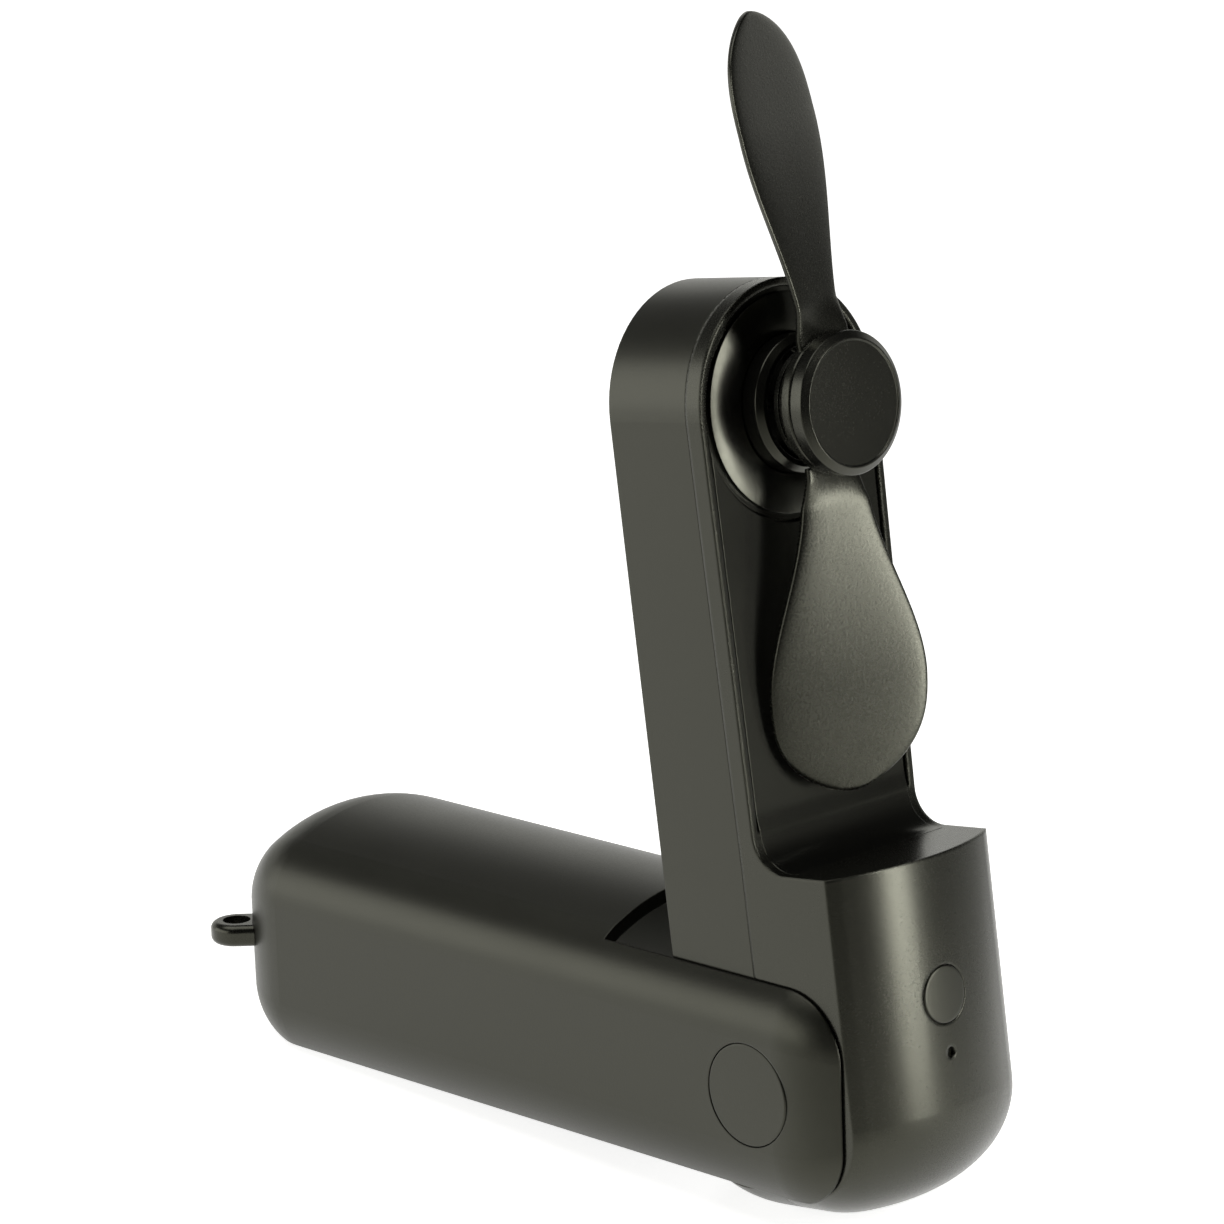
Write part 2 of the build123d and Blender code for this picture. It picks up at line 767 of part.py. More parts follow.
def battery_lead():
    """From the control board up beside the cell to the battery's upper tab."""
    side = -cell_radius + lead_inset
    points = lead_path(side) + [(side, lead_y, cell_top - 2 * lead_bend)]
    points += [(side, lead_y + lead_bend, cell_top + lead_bend)]
    points += [(-tab_half_width - part_gap, cell_centre + tab_reach[0] / 2, cell_top + lead_radius + part_gap)]
    return lead(points)


def hinge_bush(side):
    outer = pin_radius + pin_play + bush_wall
    start = side * (arm_half - washer_seat)
    end = side * (arm_half - bush_length)
    bush = along_x(outer - part_gap / 2, start, end)
    return bush - along_x(pin_radius + pin_play, -far, far)


def friction_washer(side):
    start = side * (arm_half - washer_seat)
    end = start + side * washer_thickness
    washer = along_x(washer_radius, start, end)
    return washer - along_x(pin_radius + pin_play + bush_wall, -far, far)


def hinge_pin(side):
    head_out = side * (body_half - cap_seat)
    head_in = head_out - side * pin_head_thickness
    tip = side * (arm_half - pin_length)
    pin = along_x(pin_head_radius - part_gap, head_out, head_in) + along_x(pin_radius, head_in, tip)
    groove_at = side * (arm_half - bush_length - part_gap)
    groove = along_x(far, groove_at, groove_at - side * clip_thickness)
    groove -= along_x(pin_radius - clip_groove, -far, far)
    return pin - groove


def pin_clip(side):
    start = side * (arm_half - bush_length - part_gap)
    clip = along_x(clip_radius, start, start - side * clip_thickness)
    clip -= along_x(pin_radius - clip_groove, -far, far)
    mouth = block((-far, far), (-clip_mouth / 2, clip_mouth / 2), (0, far))
    return clip - mouth


def pivot_cap(side):
    seat = side * (body_half - cap_seat)
    disc = along_x(cap_radius - cap_play, seat, side * far / 2)
    return disc & cover_form(0, rim_drop)


def cover_shell():
    hollow_end = block((-far, far), (cheek_end, far * 2), (-far, far))
    body = cover_form(0, rim_drop) - (cover_form(cover_wall, far) & hollow_end)
    body -= block((-slot_half, slot_half), (-far, slot_end), (-far, far))
    for side in (-1, 1):
        seat = side * (body_half - cap_seat)
        body -= along_x(cap_radius, seat, side * far)
        body -= along_x(pin_head_radius, seat - side * pin_head_thickness, side * far)
        body -= along_x(pin_radius + press_gap, side * arm_half, side * far)
    return body - loop_place() * along_y(loop_stem, nose_round - loop_hold, far)


def loop_place():
    """Middle of the corner's rounding, turned so that +Y leaves the corner squarely."""
    return Pos(nose_round - body_half, cover_length - nose_round, loop_rise) * Rot(Z=loop_turn)


def lanyard_loop():
    centre = nose_round + loop_offset
    foot = nose_round - loop_sink
    rise = (-loop_thickness / 2, loop_thickness / 2)
    ring = Pos(0, centre, 0) * Cylinder(loop_radius, loop_thickness)
    ring += block((-loop_radius, loop_radius), (foot, centre), rise)
    rims = ring.faces().sort_by(Axis.Z)[0].edges() + ring.faces().sort_by(Axis.Z)[-1].edges()
    ring = fillet(rims.filter_by(lambda edge: edge.center().Y > foot + part_gap), loop_edge)
    ring -= Pos(0, centre, 0) * Cylinder(loop_hole, far)
    ring = (loop_place() * ring) - cover_form(-part_gap / 2, far)
    stem_end = nose_round - cover_wall - loop_head_room
    stem = along_y(loop_stem - part_gap / 2, stem_end, centre - loop_hole)
    head = along_y(loop_stem_head, stem_end - loop_stem_head_length, stem_end)
    return ring + loop_place() * (stem + head)


def arm_pieces():
    pieces = {
        "rear_housing": housing_hinge_half(rear_housing(), True),
        "front_housing": housing_hinge_half(front_housing(), False),
        "face_panel": face_panel(),
        "motor_ring": motor_ring(),
        "motor_boss": motor_boss(),
        "motor_can": motor_can(),
        "motor_bush": motor_bush(),
        "motor_magnets": motor_magnets(),
        "motor_armature": motor_armature(),
        "motor_end_cap": motor_end_cap(),
        "motor_terminals": motor_terminals(),
        "motor_screws": motor_screws(),
        "motor_shaft": motor_shaft(),
        "rotor_hub": rotor_hub(),
        "hub_cap": hub_cap(),
        "fixed_blade": fixed_blade(),
        "folding_blade": folding_blade(),
        "power_button": power_button(),
        "light_guide": light_guide(),
        "circuit_board": circuit_board(),
        "board_components": board_components(),
        "tact_switch": tact_switch(),
        "status_led": status_led(),
        "battery_cell": battery_cell(),
        "battery_tabs": battery_tabs(),
        "battery_pad": battery_pad(),
        "charging_board": charging_board(),
        "usb_socket": usb_socket(),
        "housing_screws": housing_screws(),
        "motor_lead_red": motor_lead(cell_radius - lead_inset, terminal_x),
        "motor_lead_black": motor_lead(cell_radius - lead_inset - lead_pitch, -terminal_x),
        "battery_lead": battery_lead(),
    }
    for name, side in (("left", -1), ("right", 1)):
        pieces["hinge_bush_" + name] = hinge_bush(side)
        pieces["friction_washer_" + name] = friction_washer(side)
    return pieces


def cover_pieces():
    pieces = {"cover_shell": cover_shell(), "lanyard_loop": lanyard_loop()}
    for name, side in (("left", -1), ("right", 1)):
        pieces["pivot_cap_" + name] = pivot_cap(side)
        pieces["hinge_pin_" + name] = hinge_pin(side)
        pieces["pin_clip_" + name] = pin_clip(side)
    return pieces


def assemble():
    """All pieces in the desk pose, standing on z = 0 and centred on their box."""
    slope = cover_slope()
    lean = fold_back + slope
    lift = Pos(0, 0, arm_support(lean))
    placed = {}
    for name, piece in arm_pieces().items():
        placed[name] = lift * Rot(X=-lean) * piece
    for name, piece in cover_pieces().items():
        placed[name] = lift * Rot(X=-slope) * piece
    boxes = [piece.bounding_box() for piece in placed.values()]
    front = min(box.min.Y for box in boxes)
    back = max(box.max.Y for box in boxes)
    shift = Pos(0, -(front + back) / 2, 0)
    for name in placed:
        placed[name] = shift * placed[name]
    print("pivot", 0.0, round(-(front + back) / 2, 4), round(arm_support(lean), 4))
    print("lean", round(lean, 4), "slope", round(slope, 4))
    return placed


os.makedirs("parts", exist_ok=True)
for node, shape in assemble().items():
    export_step(shape, "parts/" + node + ".step")
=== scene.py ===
import bpy
import bmesh
import json
import math
from mathutils import Matrix, Vector


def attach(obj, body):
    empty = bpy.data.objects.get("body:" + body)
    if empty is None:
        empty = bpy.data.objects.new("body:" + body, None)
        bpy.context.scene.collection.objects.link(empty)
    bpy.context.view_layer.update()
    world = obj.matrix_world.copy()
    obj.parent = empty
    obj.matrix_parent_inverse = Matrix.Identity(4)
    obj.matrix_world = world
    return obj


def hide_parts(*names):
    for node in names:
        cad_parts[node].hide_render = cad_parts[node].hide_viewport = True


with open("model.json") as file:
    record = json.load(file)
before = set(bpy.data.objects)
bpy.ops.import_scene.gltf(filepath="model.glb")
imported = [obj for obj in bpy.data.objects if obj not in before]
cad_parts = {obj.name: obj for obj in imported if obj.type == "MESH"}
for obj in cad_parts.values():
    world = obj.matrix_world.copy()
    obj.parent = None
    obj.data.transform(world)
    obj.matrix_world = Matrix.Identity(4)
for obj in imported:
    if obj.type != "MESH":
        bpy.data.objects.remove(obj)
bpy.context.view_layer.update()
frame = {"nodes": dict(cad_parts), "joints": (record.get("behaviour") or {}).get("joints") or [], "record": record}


# Rear housing
# The back half of the arm, one ABS moulding with a spark-eroded matt skin. It carries the
# battery and is screwed to the front half from behind.

# All sizes are in millimetres about the fold pivot: x across, y to the back, z up the arm.
millimetre = 0.001
joints = {joint["name"]: joint for joint in frame["joints"]}
pivot = Vector(joints["cover_fold"]["pos_m"])
across = Vector((1, 0, 0))
arm_back = -Vector(joints["rotor_spin"]["axis"]).normalized()
arm_up = across.cross(arm_back)


def frame_matrix(back, up):
    """Places millimetres about the fold pivot, with y along back and z along up."""
    turn = Matrix((across, back, up)).transposed().to_4x4()
    return Matrix.Translation(pivot) @ turn @ Matrix.Scale(millimetre, 4)


arm_frame = frame_matrix(arm_back, arm_up)


def linear(hex_colour):
    """An sRGB hex colour as linear RGBA."""
    values = [int(hex_colour[i:i + 2], 16) / 255 for i in (1, 3, 5)]
    return [v / 12.92 if v <= 0.04045 else ((v + 0.055) / 1.055) ** 2.4 for v in values] + [1]


def add_node(material, kind, inputs=None, feeds=None, **settings):
    """Adds a shader node with its settings and the values or sockets that feed it. Its
    first output is linked to the socket that it feeds in its turn, if one is given."""
    links = material.node_tree.links
    node = material.node_tree.nodes.new(kind)
    for name, value in settings.items():
        setattr(node, name, value)
    for socket, value in (inputs or {}).items():
        if isinstance(value, bpy.types.NodeSocket):
            links.new(value, node.inputs[socket])
        else:
            node.inputs[socket].default_value = value
    if feeds:
        links.new(node.outputs[0], feeds)
    return node


def new_finish(name, **values):
    """A material with its shader and a place in metres; values go on the shader's sockets."""
    material = bpy.data.materials.new(name)
    material.use_nodes = True
    shader = material.node_tree.nodes["Principled BSDF"]
    for socket, value in values.items():
        shader.inputs[socket.replace("_", " ")].default_value = value
    place = add_node(material, "ShaderNodeTexCoord").outputs["Object"]
    return material, shader, place


def moulded_plastic(name, colour, roughness, grain, depth, edge):
    """Black moulded plastic: grain and depth of its texture and the edge radius are in
    millimetres. The grain breaks up the gloss, and slow clouds are faint flow marks."""
    gloss_swing = 0.12
    grain_shade_swing = 0.14
    cloud_swing = 0.015
    warm_sheen = linear("#ffffe6")
    material, shader, place = new_finish(name, IOR=1.5, Specular_Tint=warm_sheen)
    fine = add_node(material, "ShaderNodeTexNoise",
                    {"Vector": place, "Scale": 1 / (grain * millimetre), "Detail": 3.0,
                     "Roughness": 0.65}).outputs["Fac"]
    clouds = add_node(material, "ShaderNodeTexNoise",
                      {"Vector": place, "Scale": 45.0, "Detail": 2.0}).outputs["Fac"]
    rough = add_node(material, "ShaderNodeMapRange",
                     {"Value": fine, "From Min": 0.25, "From Max": 0.75,
                      "To Min": roughness * (1 - gloss_swing),
                      "To Max": roughness * (1 + gloss_swing)}).outputs["Result"]
    smear = add_node(material, "ShaderNodeMapRange",
                     {"Value": clouds, "From Min": 0.3, "From Max": 0.7,
                      "To Min": -cloud_swing, "To Max": cloud_swing}).outputs["Result"]
    add_node(material, "ShaderNodeMath", {0: rough, 1: smear}, shader.inputs["Roughness"],
             operation="ADD")
    # The base colour swings with the grain. It is darker in the grain's low spots and lighter on its tops, as the
    # bump rises: painted shade and painted highlight of the grain.
    base = linear(colour)[:3]
    grain_pit_shade = [value * (1 - grain_shade_swing) for value in base] + [1]
    grain_top_highlight = [value * (1 + grain_shade_swing) for value in base] + [1]
    painted_grain_shading = add_node(material, "ShaderNodeMix", {"Factor": fine, 6: grain_pit_shade, 7: grain_top_highlight},
                      data_type="RGBA")
    material.node_tree.links.new(painted_grain_shading.outputs[2], shader.inputs["Base Color"])
    soft_edge = add_node(material, "ShaderNodeBevel", {"Radius": edge * millimetre}, samples=6)
    add_node(material, "ShaderNodeBump",
             {"Height": fine, "Strength": 1.0, "Distance": depth * millimetre,
              "Normal": soft_edge.outputs["Normal"]}, shader.inputs["Normal"])
    return material


def dress(nodes, material):
    """Gives carried-over CAD nodes a material and smooth shading with sharp corners."""
    for name in nodes:
        mesh = frame["nodes"][name].data
        mesh.materials.clear()
        mesh.materials.append(material)
        mesh.shade_smooth()
        mesh.set_sharp_from_angle(angle=math.radians(30))


# ABS with a fine spark-eroded texture: matt, so highlights are broad and slightly grainy.
# The real grain is about 0.1 mm, drawn at 0.3 mm so that it holds at this distance.
abs_matt = moulded_plastic("abs_spark_eroded_black", "#0d0d0b", roughness=0.32,
                           grain=0.30, depth=0.010, edge=0.35)
dress(["rear_housing"], abs_matt)


# Battery, its tabs and its foam strip
# One 18 mm lithium cell in a shrink sleeve with spot-welded nickel tabs, held against the
# front housing by a strip of closed-cell foam.

# Shrunk PVC: glossy, with faint wrinkles.
sleeve, shader, place = new_finish("pvc_shrink_sleeve_blue", IOR=1.53, Base_Color=linear("#2c5f9e"))
wrinkles = add_node(sleeve, "ShaderNodeTexNoise",
                    {"Vector": place, "Scale": 260.0, "Detail": 3.0}).outputs["Fac"]
add_node(sleeve, "ShaderNodeMapRange", {"Value": wrinkles, "To Min": 0.18, "To Max": 0.36},
         shader.inputs["Roughness"])
add_node(sleeve, "ShaderNodeBump", {"Height": wrinkles, "Distance": 0.04 * millimetre},
         shader.inputs["Normal"])
dress(["battery_cell"], sleeve)

# Rolled nickel: a bright strip with uneven gloss.
nickel, shader, place = new_finish("nickel_strip_rolled", Metallic=1.0, Base_Color=linear("#b9b5aa"))
rolling = add_node(nickel, "ShaderNodeTexNoise",
                   {"Vector": place, "Scale": 5000.0, "Detail": 2.0}).outputs["Fac"]
add_node(nickel, "ShaderNodeMapRange", {"Value": rolling, "To Min": 0.25, "To Max": 0.45},
         shader.inputs["Roughness"])
dress(["battery_tabs", "motor_terminals"], nickel)

# Cut foam: dull, with open cells about 0.5 mm wide.
foam, shader, place = new_finish("polyethylene_foam_black", Roughness=0.95)
cell_relief_and_shade = add_node(foam, "ShaderNodeTexVoronoi", {"Vector": place, "Scale": 2200.0}).outputs["Distance"]
# The tone is painted darker in the low grooves between the cells, where the bump sinks: painted shade.
tone = add_node(foam, "ShaderNodeValToRGB", {"Fac": cell_relief_and_shade}, shader.inputs["Base Color"])
tone.color_ramp.elements[0].color = linear("#3a3a38")
tone.color_ramp.elements[1].color = linear("#1b1b1a")
add_node(foam, "ShaderNodeBump", {"Height": cell_relief_and_shade, "Distance": 0.2 * millimetre},
         shader.inputs["Normal"], invert=True)
dress(["battery_pad"], foam)


# Control board, charging board and what is soldered on them
# Glass-epoxy boards under green solder mask, with the power switch, a status light and its
# clear guide, a chip, a coil and capacitors. The charging socket is drawn steel.

# Solder mask over glass cloth: even gloss, with the weave showing through as faint bands.
board_green, shader, place = new_finish("glass_epoxy_solder_mask_green", Roughness=0.32, IOR=1.55)
weave = add_node(board_green, "ShaderNodeTexWave",
                 {"Vector": place, "Scale": 900.0, "Distortion": 0.4},
                 bands_direction="DIAGONAL").outputs["Fac"]
tone = add_node(board_green, "ShaderNodeValToRGB", {"Fac": weave}, shader.inputs["Base Color"])
tone.color_ramp.elements[0].color = linear("#1c5a33")
tone.color_ramp.elements[1].color = linear("#23693d")
dress(["circuit_board", "charging_board"], board_green)

# Moulded epoxy: dull black with a fine tooth.
epoxy, shader, place = new_finish("epoxy_moulding_black", Base_Color=linear("#232323"), IOR=1.55)
tooth = add_node(epoxy, "ShaderNodeTexNoise",
                 {"Vector": place, "Scale": 9000.0, "Detail": 2.0}).outputs["Fac"]
add_node(epoxy, "ShaderNodeMapRange", {"Value": tooth, "To Min": 0.45, "To Max": 0.6},
         shader.inputs["Roughness"])
dress(["board_components", "tact_switch"], epoxy)

# Cast silicone: milky white while the light is off.
lens, shader, place = new_finish("silicone_lens_diffuse", Base_Color=linear("#e6e4d6"), IOR=1.41)
haze = add_node(lens, "ShaderNodeTexNoise", {"Vector": place, "Scale": 4000.0}).outputs["Fac"]
add_node(lens, "ShaderNodeMapRange", {"Value": haze, "To Min": 0.3, "To Max": 0.45},
         shader.inputs["Roughness"])
dress(["status_led"], lens)

# Smoked acrylic, so the pinhole reads black while the light is off.
guide, shader, place = new_finish("acrylic_rod_smoked", Base_Color=linear("#15150f"), IOR=1.49)
haze = add_node(guide, "ShaderNodeTexNoise", {"Vector": place, "Scale": 3000.0}).outputs["Fac"]
add_node(guide, "ShaderNodeMapRange", {"Value": haze, "To Min": 0.08, "To Max": 0.2},
         shader.inputs["Roughness"])
dress(["light_guide"], guide)

# Plated steel, drawn or turned: bright, with fine marks that spread its highlights.
steel, shader, place = new_finish("steel_nickel_plated_drawn", Metallic=1.0, Base_Color=linear("#a9a8a2"))
drawn = add_node(steel, "ShaderNodeTexNoise",
                 {"Vector": place, "Scale": 3500.0, "Detail": 4.0}).outputs["Fac"]
add_node(steel, "ShaderNodeMapRange", {"Value": drawn, "To Min": 0.2, "To Max": 0.42},
         shader.inputs["Roughness"])
add_node(steel, "ShaderNodeBump", {"Height": drawn, "Distance": 0.004 * millimetre},
         shader.inputs["Normal"])
dress(["usb_socket", "housing_screws", "motor_screws", "motor_shaft"], steel)


# Leads
# Stranded copper in soft PVC, red to the positive side and black to the negative. They are
# soldered to the boards and the motor. Extruded PVC has a soft sheen with slight drag marks.
for colour, code, names in (("red", "#8f1c1a", ["motor_lead_red", "battery_lead"]),
                            ("black", "#1d1d1c", ["motor_lead_black"])):
    pvc, shader, place = new_finish("pvc_lead_" + colour, Base_Color=linear(code), IOR=1.53)
    drag = add_node(pvc, "ShaderNodeTexNoise", {"Vector": place, "Scale": 2500.0}).outputs["Fac"]
    add_node(pvc, "ShaderNodeMapRange", {"Value": drag, "To Min": 0.35, "To Max": 0.5},
             shader.inputs["Roughness"])
    dress(names, pvc)


# Motor
# A drawn and zinc-plated can with two ferrite magnets, a wound armature, a sintered bush
# and a nylon end cap. It sits in the skirt of the motor ring behind the arm's face.

# Zinc plating: cool grey, with spangles about 1.5 mm wide that differ in gloss.
zinc, shader, place = new_finish("steel_zinc_plated_can", Metallic=1.0, Base_Color=linear("#9c9fa0"))
spangle = add_node(zinc, "ShaderNodeTexVoronoi", {"Vector": place, "Scale": 700.0}).outputs["Distance"]
add_node(zinc, "ShaderNodeMapRange", {"Value": spangle, "To Min": 0.28, "To Max": 0.46},
         shader.inputs["Roughness"])
dress(["motor_can"], zinc)

# Pressed ferrite: dark grey and dull.
ferrite, shader, place = new_finish("ferrite_pressed", Base_Color=linear("#3a3a3c"), IOR=2.0)
pores = add_node(ferrite, "ShaderNodeTexNoise",
                 {"Vector": place, "Scale": 6000.0, "Detail": 3.0}).outputs["Fac"]
add_node(ferrite, "ShaderNodeMapRange", {"Value": pores, "To Min": 0.5, "To Max": 0.75},
         shader.inputs["Roughness"])
dress(["motor_magnets"], ferrite)

# Enamelled copper wire, 0.2 mm, drawn as the winding's ribs.
winding, shader, place = new_finish("copper_wire_enamelled", Metallic=1.0, Roughness=0.3)
wire_ribs_and_shade = add_node(winding, "ShaderNodeTexWave",
                 {"Vector": place, "Scale": 1600.0, "Distortion": 1.2}).outputs["Fac"]
# The copper is painted dark in the grooves between the wires and bright on their crests, where the bump rises:
# painted shade and painted highlight.
tone = add_node(winding, "ShaderNodeValToRGB", {"Fac": wire_ribs_and_shade}, shader.inputs["Base Color"])
tone.color_ramp.elements[0].color = linear("#5c2a12")
tone.color_ramp.elements[1].color = linear("#b9663a")
add_node(winding, "ShaderNodeBump", {"Height": wire_ribs_and_shade, "Distance": 0.05 * millimetre},
         shader.inputs["Normal"])
dress(["motor_armature"], winding)

# Sintered bronze: warm, with pores that hold its oil.
bronze, shader, place = new_finish("bronze_sintered", Metallic=1.0, Base_Color=linear("#8c6a3c"))
pores = add_node(bronze, "ShaderNodeTexVoronoi", {"Vector": place, "Scale": 5200.0}).outputs["Distance"]
add_node(bronze, "ShaderNodeMapRange", {"Value": pores, "To Min": 0.38, "To Max": 0.6},
         shader.inputs["Roughness"])
dress(["motor_bush"], bronze)

# Natural nylon: milky and slightly waxy. The hinge's bushes and washers are the same stock.
nylon, shader, place = new_finish("nylon_natural_moulded", Base_Color=linear("#d9d4c4"), IOR=1.53)
shader.inputs["Subsurface Weight"].default_value = 0.2
shader.inputs["Subsurface Scale"].default_value = 0.002
haze = add_node(nylon, "ShaderNodeTexNoise",
                {"Vector": place, "Scale": 1500.0, "Detail": 3.0}).outputs["Fac"]
add_node(nylon, "ShaderNodeMapRange", {"Value": haze, "To Min": 0.35, "To Max": 0.5},
         shader.inputs["Roughness"])
dress(["motor_end_cap", "hinge_bush_left", "hinge_bush_right", "friction_washer_left",
       "friction_washer_right"], nylon)


# Front housing
# The front half of the arm: the thick lower block with the button's hole, the shoulder with
# its hollow corner, and a raised rim around the face panel. Screws hold it to the rear half.

# The rear half's texture, rubbed a little glossier by the hand, with softer edges.
abs_front = moulded_plastic("abs_spark_eroded_black_front", "#0d0d0b", roughness=0.26,
                            grain=0.30, depth=0.011, edge=0.7)
dress(["front_housing"], abs_front)


# Motor ring
# A semi-gloss ABS collar that closes the face around the motor and is pressed over its can.
# A narrow ledge lies inside the rim, then a shallow crown rises from a small edge and runs
# level to the boss.
motor_height = 100.0
ring_outer = 17.15
ring_back = 1.8
ring_seat = 14.7
ring_seat_back = -1.9
ring_ledge_front = -2.35
crown_edge = 16.3
crown_inside = 12.0
crown_start = -3.05
crown_slope = 0.27
crown_steps = 16
crown_lip = 0.3           # depth of the small rounded step from the ledge to the crown
ring_inner = 10.42
ring_mouth_edge = 0.2


def rounded(points, radii, steps=6):
    """Rounds the corners of a closed outline; each corner has its own radius."""
    side_share = 0.49
    outline = []
    count = len(points)
    for index, radius in enumerate(radii):
        corner = Vector(points[index])
        before = (Vector(points[index - 1]) - corner)
        after = (Vector(points[(index + 1) % count]) - corner)
        if radius <= 0:
            outline.append(tuple(corner))
            continue
        bend = before.angle(after)
        reach = min(radius / math.tan(bend / 2), before.length * side_share, after.length * side_share)
        start = corner + before.normalized() * reach
        end = corner + after.normalized() * reach
        for step in range(steps + 1):
            t = step / steps
            outline.append(tuple(start * (1 - t) ** 2 + corner * 2 * t * (1 - t) + end * t ** 2))
    return outline


def band_faces(rows, around, closed=False):
    """Faces between rows of closed rings of points; closed joins the last row to the first."""
    faces = []
    for row in range(rows if closed else rows - 1):
        here = row * around
        there = (row + 1) % rows * around
        for i in range(around):
            j = (i + 1) % around
            faces.append((here + i, here + j, there + j, there + i))
    return faces


def turned(outline, centre_z, steps=128):
    """Turns a closed outline of (radius, y) about a line along y at a height."""
    points = []
    for step in range(steps):
        turn = 2 * math.pi * step / steps
        for radius, y in outline:
            points.append((radius * math.sin(turn), y, centre_z + radius * math.cos(turn)))
    return points, band_faces(steps, len(outline), closed=True)


def make_piece(name, points, faces, place, material, body, replaced, slot):
    """Builds one piece from its mesh, shades it, ties it to its body and hides the CAD nodes that it replaces."""
    mesh = bpy.data.meshes.new(name)
    mesh.from_pydata([tuple(p) for p in points], [], faces)
    mesh.transform(place)
    work = bmesh.new()
    work.from_mesh(mesh)
    bmesh.ops.remove_doubles(work, verts=work.verts, dist=0.002 * millimetre)
    bmesh.ops.recalc_face_normals(work, faces=work.faces)
    work.to_mesh(mesh)
    work.free()
    mesh.materials.append(material)
    mesh.shade_smooth()
    mesh.set_sharp_from_angle(angle=math.radians(50))
    piece = bpy.data.objects.new(name, mesh)
    bpy.context.scene.collection.objects.link(piece)
    weighted = piece.modifiers.new("even_shading", "WEIGHTED_NORMAL")
    weighted.keep_sharp = True
    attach(piece, body)
    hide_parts(*replaced)
    return piece


# Polished ABS: clear but soft-edged highlights with a faint orange peel.
abs_polished = moulded_plastic("abs_polished_black", "#0b0b0a", roughness=0.24,
                               grain=0.9, depth=0.001, edge=0.1)
profile = [(ring_outer, ring_seat_back), (ring_outer, ring_ledge_front),
           (crown_edge + 0.12, ring_ledge_front),
           (crown_edge + 0.1, crown_start + crown_lip), (crown_edge + 0.03, crown_start + crown_lip / 3)]
crown_width = crown_edge - crown_inside
crown_rise = crown_slope * crown_width / 2
crown_front = crown_start - crown_rise
for step in range(crown_steps + 1):
    share = 1 - step / crown_steps
    profile.append((crown_inside + crown_width * share, crown_start - crown_rise * (1 - share ** 2)))
profile += [(ring_inner + ring_mouth_edge, crown_front), (ring_inner, crown_front + ring_mouth_edge),
            (ring_inner, ring_back), (ring_seat, ring_back), (ring_seat, ring_seat_back)]
make_piece("motor_ring_crown", *turned(profile, motor_height), arm_frame, abs_polished, "arm",
           ["motor_ring"], "ring")


# Motor boss
# An open tube that stands out of the ring and hides the motor's bush. Its mouth has a crisp
# polished chamfer, and the inside stays dark.
boss_radius = 10.3
boss_bore = 8.4
boss_front = -7.1
boss_chamfer = 0.9
boss_mouth_edge = 0.3
boss_floor = -0.9
shaft_hole = 1.5
bush_room = 2.75
bush_front = 0.3
profile = rounded([(boss_radius, ring_back), (boss_radius, boss_front + boss_chamfer),
                   (boss_radius - boss_chamfer, boss_front), (boss_bore + boss_mouth_edge, boss_front),
                   (boss_bore, boss_front + boss_mouth_edge), (boss_bore, boss_floor),
                   (shaft_hole, boss_floor), (shaft_hole, bush_front), (bush_room, bush_front),
                   (bush_room, ring_back)],
                  [0, 0.4, 0.2, 0.1, 0.1, 0.6, 0, 0, 0, 0])
make_piece("motor_boss_tube", *turned(profile, motor_height), arm_frame, abs_polished, "arm",
           ["motor_boss"], "ring")


# Face panel
# The plate of the arm's face, let into the rim. Its upper end is cut to the ring's curve,
# and its foot sweeps forward over the hollow corner onto the shoulder, so no joint shows.
shoulder_height = 32.8
shoulder_fillet = 5.5
face_front = -3.05
arm_half = 17.5
head_half = 18.5
rim_width = 1.2
panel_gap = 0.38
panel_front = -2.78
panel_thickness = 0.85
panel_corner = 96.8       # where the panel's sides end at the ring
ring_cut = 17.5
skin = 0.07               # how far the foot lies over the housing
foot_run = 1.2            # flat end of the foot on the shoulder
foot_bury = 0.35          # share of the thickness that the foot's back goes down and back
foot_blend = 3.0          # height over which the foot's surface meets the plate's
foot_crowding = 1.6       # power that crowds the plate's rows towards the foot


def panel_half(height):
    """Half the panel's width, which follows the arm's sides as they spread to the head."""
    spread = (head_half - arm_half) * (height - shoulder_height) / (motor_height - shoulder_height)
    return arm_half + max(0.0, spread) - rim_width - panel_gap


def panel_mesh():
    """The panel as a grid over its width and its length, closed behind."""
    across_steps, steps, foot_steps = 64, 30, 14
    top_half = panel_half(panel_corner)
    reach = shoulder_fillet - skin
    foot = [(face_front - shoulder_fillet - foot_run, shoulder_height + skin * 0.4)]
    for step in range(foot_steps + 1):
        turn = math.radians(90 - 90 * step / foot_steps)
        foot.append((face_front - shoulder_fillet + reach * math.cos(turn),
                     shoulder_height + shoulder_fillet - reach * math.sin(turn)))
    foot_y, foot_z = foot[-1]
    points, faces = [], []
    rows = len(foot) + steps
    for layer in (0.0, panel_thickness):
        for row in range(rows):
            for step in range(across_steps + 1):
                share = -1 + 2 * step / across_steps
                if row < len(foot):
                    y = foot[row][0] + layer * foot_bury
                    z = foot[row][1] - layer * foot_bury
                else:
                    t = (row - len(foot) + 1) / steps
                    z_top = motor_height - math.sqrt(ring_cut ** 2 - (share * top_half) ** 2)
                    z = foot_z + (z_top - foot_z) * t ** foot_crowding
                    blend = min(1.0, max(0.0, (z - foot_z) / foot_blend))
                    blend = blend * blend * (3 - 2 * blend)
                    y = foot_y + (panel_front - foot_y) * blend + layer
                points.append((share * panel_half(z), y, z))
    wide = across_steps + 1
    back = rows * wide
    for row in range(rows - 1):
        for step in range(across_steps):
            a = row * wide + step
            faces.append((a, a + 1, a + wide + 1, a + wide))
            faces.append((back + a, back + a + wide, back + a + wide + 1, back + a + 1))
    edge = list(range(wide)) + [row * wide + across_steps for row in range(1, rows)]
    edge += [(rows - 1) * wide + step for step in range(across_steps - 1, -1, -1)]
    edge += [row * wide for row in range(rows - 2, 0, -1)]
    for i, a in enumerate(edge):
        b = edge[(i + 1) % len(edge)]
        faces.append((a, b, back + b, back + a))
    return points, faces


